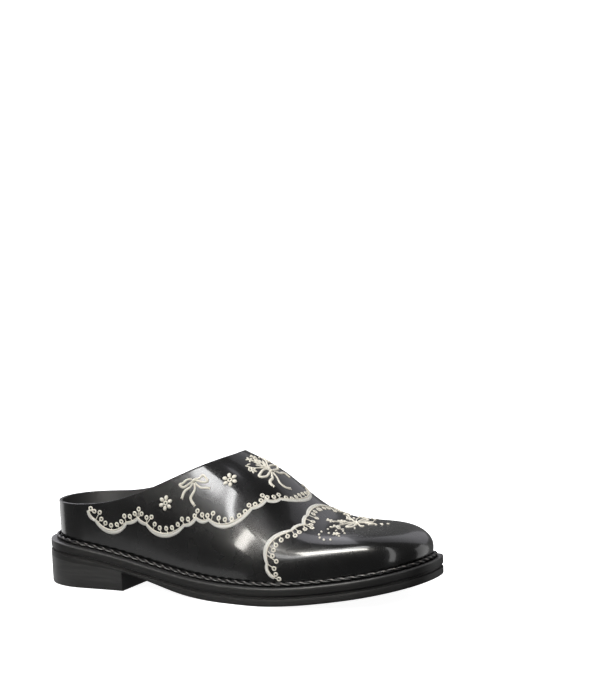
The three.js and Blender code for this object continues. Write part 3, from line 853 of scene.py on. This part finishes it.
# Flowers, bows and sprays: lines are station and across, with the widths at the start, middle and end
motif = {  # drops are length, width and height
    "petals": 6, "petal": (3.3, 2.7, 0.8), "petalReach": 3.45,
    "heart": (1.1, 1.1 / eyelet["long"], 1), "heartLift": 0.2,
    "smallPetals": 5, "smallPetal": (1.9, 1.45, 0.55), "smallReach": 0.85, "smallTurn": 18,
    "smallHeart": (0.8, 0.7, 1), "leafHeight": 0.55, "dot": (2.1, 1.4, 0.55), "dotTurn": 0.7,
    "chainDrop": (2.3, 1.3, 0.5), "chainTurn": 0.9,
    "bowKnot": (3.1, 2.1, 0.95), "sprayKnot": (2.4, 2.2, 0.95),
    "forkPoint": (1.9, 0.9, 0.6), "forkReach": 0.35, "forkSpread": 0.6, "dropLift": 0.1,
    "lineHeight": 0.7, "lineSteps": 36, "around": 10, "rings": 7}
flowerPlaces = [(96.6, -66.1, 102), (140, -31.1, 127)]  # station, across, turn of the first petal
bowKnot = (115.7, -43)
bowLoops = [
    ([(114.5, -42.7), (112.1, -44), (110, -45.9), (107.6, -49), (106.1, -50.2), (107.3, -50.9),
      (110, -49.8), (112.4, -47.1), (114.8, -44.1)], 1.1, 1.7, 1.1),
    ([(116.6, -41.3), (118.4, -40.5), (120.5, -37.9), (121.7, -36.5), (123.2, -37), (125.3, -38.5),
      (123.5, -40.3), (121.1, -41.2), (117.8, -42), (116.6, -42.4)], 1.1, 1.7, 1.1)]
bowTails = [
    ([(115.1, -44.6), (113.9, -48.1), (111.2, -51.2), (109.4, -54.4), (108.8, -57.1)], 1.2, 1.7, 2),
    ([(116, -44.6), (117.2, -46.7), (116.9, -49.2), (115.4, -52.8), (114.9, -55), (116, -56.6),
      (117.6, -57.6)], 1.2, 1.7, 2),
    ([(116.9, -43.7), (119.3, -44.8), (121.4, -44.8), (124.4, -43.5), (126.8, -42.6)], 1, 1.5, 1.8)]
vampSpray = {
    "middle": -4.6, "knot": 159.5,
    "loops": [
        ([(159.2, -5.2), (157.4, -6.4), (156.2, -9.7), (156.2, -14.2), (156.8, -17.8), (158.6, -16.2),
          (160.1, -12.7), (159.8, -8.3), (159.5, -5.2)], 1.2, 1.9, 1.2)],
    "tails": [
        ([(160.4, -5.8), (161.6, -8.3), (163.1, -10.8), (163.1, -14), (164.3, -16.6), (165.8, -16.7)],
         1.2, 1.9, 2.2)],
    "middleTails": [
        ([(160.7, -4.9), (162.5, -5.5), (165.2, -7.1), (167.6, -9), (170.6, -8.4), (172.7, -5.5)],
         1.2, 1.6, 2)],
    "stems": [
        ([(158.3, -4.8), (156.2, -6.6), (153.5, -10.9), (149.9, -14.5), (147.8, -15.1), (146, -15.6)],
         1.1, 1, 0.8),
        ([(158, -4.5), (155.3, -5.1), (152.3, -6.6), (149.3, -7.1)], 1, 0.9, 0.8)],
    "leaves": [(152.3, -8.7, 52, 4.2, 1.3), (154.1, -7.2, 40, 3.2, 1.2), (149, -16.8, -30, 3.2, 1.2),
               (147.2, -13.1, 20, 3, 1.2), (148.7, -4.7, 60, 3.2, 1.3)],
    "flowers": [(145.7, -7.6, 2.3), (151.7, -16.2, 2), (150.2, -3.5, 2)],
    "dots": [], "chain": [],
}
toeSpray = {
    "middle": 5.8, "knot": 215.5,
    "loops": [
        ([(215.2, 5.5), (214.6, 0.9), (214.3, -4), (215.5, -9.7), (217.3, -7.8), (217.6, -2.3),
          (216.1, 4.9)], 1.2, 1.8, 1.2)],
    "tails": [
        ([(216.4, 5.2), (217.6, 3.6), (219.7, 0.9), (221.8, -1.2), (223.6, -1.4)], 0.9, 1.1, 1.3)],
    "middleTails": [
        ([(216.1, 6.7), (219.4, 9.4), (223, 9.3), (226.5, 7.7)], 0.9, 1.1, 1.3)],
    "stems": [
        ([(214.6, 5.3), (211.9, -0.8), (210.1, -8), (209.8, -12.3)], 1, 0.9, 0.8),
        ([(214.6, 5.3), (210.7, 2.3), (206.5, -2.3), (203.5, -6)], 1, 0.9, 0.8)],
    "leaves": [(208, -18.2, 65, 2.6, 1.2), (213.1, -17.2, 40, 2.8, 1.3), (215.8, -17.8, 40, 2.6, 1.3),
               (213.4, -22.6, 0, 2.4, 1.2), (205.3, -0.8, 70, 2.6, 1.2), (208.6, -4, 60, 2.8, 1.2)],
    "flowers": [(209.8, -14.3, 2.2), (216.1, -28.4, 1.9), (202, -7.5, 2.3), (207.7, 1.2, 2)],
    "dots": [(208, -23.5), (206.2, -29.4), (206.2, -33.4), (208, -36.2), (211.3, -37.3), (215.5, -36.3),
             (211.3, -29.1), (219.4, -31.3), (220.9, -25.5), (217.9, -21.2), (221.5, -10)],
    "chain": [(222.4, 8), (225.5, 5.4), (228.8, 9), (231.8, 7.2), (235, 11.2), (238.4, 9.2), (241.6, 13.6)],
}


def smoothLine(points):
    points = np.asarray(points, float)
    travel = travelAlong(points)
    rows = [(t, *p) for t, p in zip(travel, points)]
    at = np.linspace(0, travel[-1], motif["lineSteps"])
    return np.stack([curveThrough(rows, 1)(at), curveThrough(rows, 2)(at)], -1)


def basePetal():  # a plump stitched drop, long in y
    bpy.ops.mesh.primitive_uv_sphere_add(
        segments=motif["around"], ring_count=motif["rings"], radius=0.5 * mm)
    petal = bpy.context.object
    editAll(petal)
    bpy.ops.transform.rotate(value=math.pi / 2, orient_axis="X", center_override=(0, 0, 0))
    leaveEdit()
    for corner in petal.data.uv_layers.active.data:
        corner.uv = (corner.uv[1], plainThread)
    return petal


petal = basePetal()
ring = baseEyelet()
motifParts = []


def addDrop(station, across, turn, length, width, height):
    drop = copyOnSkin(petal, station, across, turn, motif["dropLift"], (width, length, height * 2))
    for corner in drop.data.uv_layers.active.data:
        corner.uv = (corner.uv[0] * length, corner.uv[1])
    motifParts.append(drop)


def stepOnSkin(station, across, reach, angle):  # a step on the skin, its angle from lengthways to upwards
    ahead, beside = (step[0] for step in skinSteps(station, across))
    _, _, length, upward = skinFrame(station, across)
    wish = reach * (math.cos(angle) * length[0] + math.sin(angle) * upward[0])
    return np.array([station, across]) + np.linalg.lstsq(np.stack([ahead, beside], -1), wish, rcond=None)[0]


def addRibbons(rows, place, forked=False):  # place: moves a line to where it is wanted
    for points, start, middle, end in rows:
        line = place(smoothLine(points))
        share = np.linspace(0, 1, len(line))
        swell = (middle - (start + end) / 2) * 4 * share * (1 - share)
        widths = start * (1 - share) + end * share + swell
        motifParts.append(bandOnSkin("ribbon", line, widths, motif["lineHeight"]))
        if forked:  # two points at the cut end
            run = line[-1] - line[-4]
            reach = motif["forkPoint"][0] * motif["forkReach"]
            for spread in (-motif["forkSpread"], motif["forkSpread"]):
                heading = math.atan2(run[1], run[0]) + spread
                tip = line[-1] + reach * np.array([math.cos(heading), math.sin(heading)])
                addDrop(*tip, heading - math.pi / 2, *motif["forkPoint"])


def addPetals(station, across, count, firstTurn, reach, size):
    for k in range(count):
        angle = math.radians(firstTurn + 360 / count * k)
        addDrop(*stepOnSkin(station, across, reach, angle), angle - math.pi / 2, *size)


def addFlower(station, across, firstTurn):
    addPetals(station, across, motif["petals"], firstTurn, motif["petalReach"], motif["petal"])
    motifParts.append(copyOnSkin(ring, station, across, 0, motif["heartLift"], motif["heart"]))


def addSmallFlower(station, across, size):  # a ring with drops round it
    motifParts.append(copyOnSkin(ring, station, across, 0, eyelet["lift"], motif["smallHeart"]))
    addPetals(station, across, motif["smallPetals"], motif["smallTurn"],
              size * motif["smallReach"], motif["smallPetal"])


def asDrawn(line):
    return line


def addSpray(spray):  # both halves lie round the spray's own middle
    for side in (1, -1):
        def place(line):
            return line if side > 0 else line * [1, -1] + [0, 2 * spray["middle"]]
        addRibbons(spray["loops"] + spray["stems"], place)
        addRibbons(spray["tails"], place, forked=True)
        for *spot, turn, length, width in spray["leaves"]:
            addDrop(*place(np.array(spot)), math.radians(-side * turn), length, width, motif["leafHeight"])
        for *spot, size in spray["flowers"]:
            addSmallFlower(*place(np.array(spot)), size)
        for spot in spray["dots"]:
            addDrop(*place(np.array(spot)), side * motif["dotTurn"], *motif["dot"])
    addRibbons(spray["middleTails"], asDrawn, forked=True)
    for k, spot in enumerate(spray["chain"]):
        addDrop(*spot, motif["chainTurn"] * (1 if k % 2 else -1), *motif["chainDrop"])
    addDrop(spray["knot"], spray["middle"], 0, *motif["sprayKnot"])


for place in (asDrawn, mirrored):
    for *spot, turn in flowerPlaces:
        spot = place(np.array([spot]))[0]
        addFlower(*spot, turn if spot[1] < 0 else -turn)
    addRibbons(bowLoops, place)
    addRibbons(bowTails, place, forked=True)
    addDrop(*place(np.array([bowKnot]))[0], 0, *motif["bowKnot"])
addSpray(vampSpray)
addSpray(toeSpray)
bpy.data.objects.remove(petal)
bpy.data.objects.remove(ring)
print("motif forms:", len(motifParts))
motifs = joinPieces("embroidered_motifs", motifParts)
finishPiece(motifs, [ivoryThread], rounded)

# Floor, light and camera
white = (1, 1, 1, 1)
stage = {"floor": 14, "under": 0.0002, "floorTone": 0.6, "roughness": 0.7, "glow": 0.95}
bpy.ops.mesh.primitive_plane_add(size=stage["floor"], location=(0, 0, -stage["under"]))
floor = bpy.context.object
floor.name = "floor"
floorMaterial, _, shader = newMaterial("paleFloor")
setInputs(shader, {"Base Color": grey(stage["floorTone"]), "Roughness": stage["roughness"],
                   "Emission Color": white, "Emission Strength": stage["glow"]})
floor.data.materials.append(floorMaterial)
floor.visible_glossy = floor.visible_diffuse = False  # the shoe shows the studio, not the floor

studio = {"dim": 0.16, "bright": 1.08, "fill": 1.15, "below": 0.06, "fadeFrom": 0.05, "fadeTo": 0.5}
world = scene.world or bpy.data.worlds.new("studio")
scene.world = world
world.use_nodes = True
sky = world.node_tree
rays = sky.nodes.new("ShaderNodeLightPath").outputs


def mixByRay(ray, others, wanted):  # rays of this kind see the wanted light
    mix = sky.nodes.new("ShaderNodeMixShader")
    for k, source in enumerate((rays[ray], others, wanted)):
        sky.links.new(source, mix.inputs[k])
    return mix.outputs["Shader"]


height = splitNode(sky, coords(sky, "Generated"))["Z"]
fade = [(studio["fadeFrom"], grey(studio["below"])), (studio["fadeTo"], grey(1))]
dim = sky.nodes["Background"]
setInputs(dim, {"Color": white, "Strength": studio["dim"]})
bright = addNode(sky, "Background", {"Color": white, "Strength": studio["bright"]}, {})
fill = addNode(sky, "Background", {"Strength": studio["fill"]}, {"Color": rampNode(sky, height, fade)})
mattLight = mixByRay("Is Diffuse Ray", dim.outputs["Background"], fill.outputs["Background"])
allLight = mixByRay("Is Camera Ray", mattLight, bright.outputs["Background"])
linkInputs(sky, sky.nodes["World Output"], {"Surface": allLight})

warm, cool = (1, 0.97, 0.91), (0.94, 0.93, 1)
tints = {"toeStrip": warm, "lowPanel": warm, "backPanel": cool, "ridgePanel": cool}
lights = [  # name, place, aim, width, height, tilt, brightness
    ("keyLight", (-0.6, -1.05, 1.25), (0, 0, 0.04), 0.9, 0.7, 0, 11),
    ("instepBox", (-0.057, -0.137, 0.159), (-0.005, -0.035, 0.075), 0.011, 0.125, -8, 32),
    ("toeStrip", (0.069, -0.508, 0.368), (0.075, -0.05, 0.042), 0.441, 0.125, 26, 36),
    ("sidePanel", (-0.064, -0.459, 0.187), (0.01, -0.05, 0.06), 0.18, 0.062, 17, 8.7),
    ("lowPanel", (-0.11, -0.255, 0.11), (0.01, -0.05, 0.06), 0.022, 0.135, -29, 34),
    ("toePost", (0.216, -0.081, 0.089), (0.1, -0.03, 0.087), 0.025, 0.203, -5, 3.5),
    ("toePanel", (0.262, 0.157, 0.042), (0.125, 0, 0.057), 0.148, 0.19, 0, 1),
    ("backPanel", (-0.44, 0.142, 0.968), (0.096, -0.365, 0.492), 0.644, 1.68, -20, 3),
    ("topPanel", (0.096, -0.345, 0.407), (0.07, -0.02, 0.05), 0.299, 0.099, 43, 12),
    ("heelPanel", (-0.667, 0.248, -0.03), (-0.13, -0.02, 0.04), 0.4, 0.4, 0, 1.1),
    ("tablePanel", (-0.462, -0.262, -0.176), (-0.07, -0.035, 0.035), 0.5, 0.17, 0, 1),
    ("ridgePanel", (0.073, 0.856, 0.848), (0.02, -0.03, 0.05), 0.676, 1.417, -11, 0.55),
]
for name, place, aim, width, height, tilt, brightness in lights:
    data = bpy.data.lights.new(name, "AREA")
    data.shape, data.size, data.size_y = "RECTANGLE", width, height
    data.energy = brightness * math.pi * width * height
    data.color = tints.get(name, (1, 1, 1))
    lamp = bpy.data.objects.new(name, data)
    lamp.location = place
    facing = (Vector(aim) - Vector(place)).to_track_quat("-Z", "Y")
    lamp.rotation_euler = (facing @ Quaternion((0, 0, 1), math.radians(tilt))).to_euler()
    lamp.visible_camera = False
    lamp.visible_diffuse = name == "keyLight"  # it shapes matt things, the others are seen in the gloss
    lamp.visible_glossy = not lamp.visible_diffuse
    scene.collection.objects.link(lamp)
scene.view_settings.view_transform = "Standard"

view = {"azimuth": 25.89, "elevation": 10.30, "roll": 1.66, "distance": 1.649, "focus": (0.0, 0.0003, 0.040),
        "pixels": 2540, "at": (240.7, 526.4), "image": (600, 678), "sensor": 36}
azimuth, elevation, roll = (math.radians(view[key]) for key in ("azimuth", "elevation", "roll"))
facing = Euler((math.pi / 2 - elevation, 0, azimuth)).to_matrix() @ Matrix.Rotation(-roll, 3, "Z")
(atX, atY), (imageWidth, imageHeight) = view["at"], view["image"]
focusRay = Vector((atX - imageWidth / 2, imageHeight / 2 - atY, -view["pixels"]))  # towards the focus
turned = facing @ focusRay.rotation_difference(Vector((0, 0, -1))).to_matrix()
camera = bpy.data.objects.new("camera", bpy.data.cameras.new("camera"))
place = Vector(view["focus"]) + facing.col[2] * view["distance"]
camera.matrix_world = Matrix.Translation(place) @ turned.to_4x4()
camera.data.sensor_width = view["sensor"]
camera.data.lens = view["pixels"] / imageHeight * view["sensor"]
scene.collection.objects.link(camera)
scene.camera = camera
print("camera at", [round(v, 3) for v in camera.location])
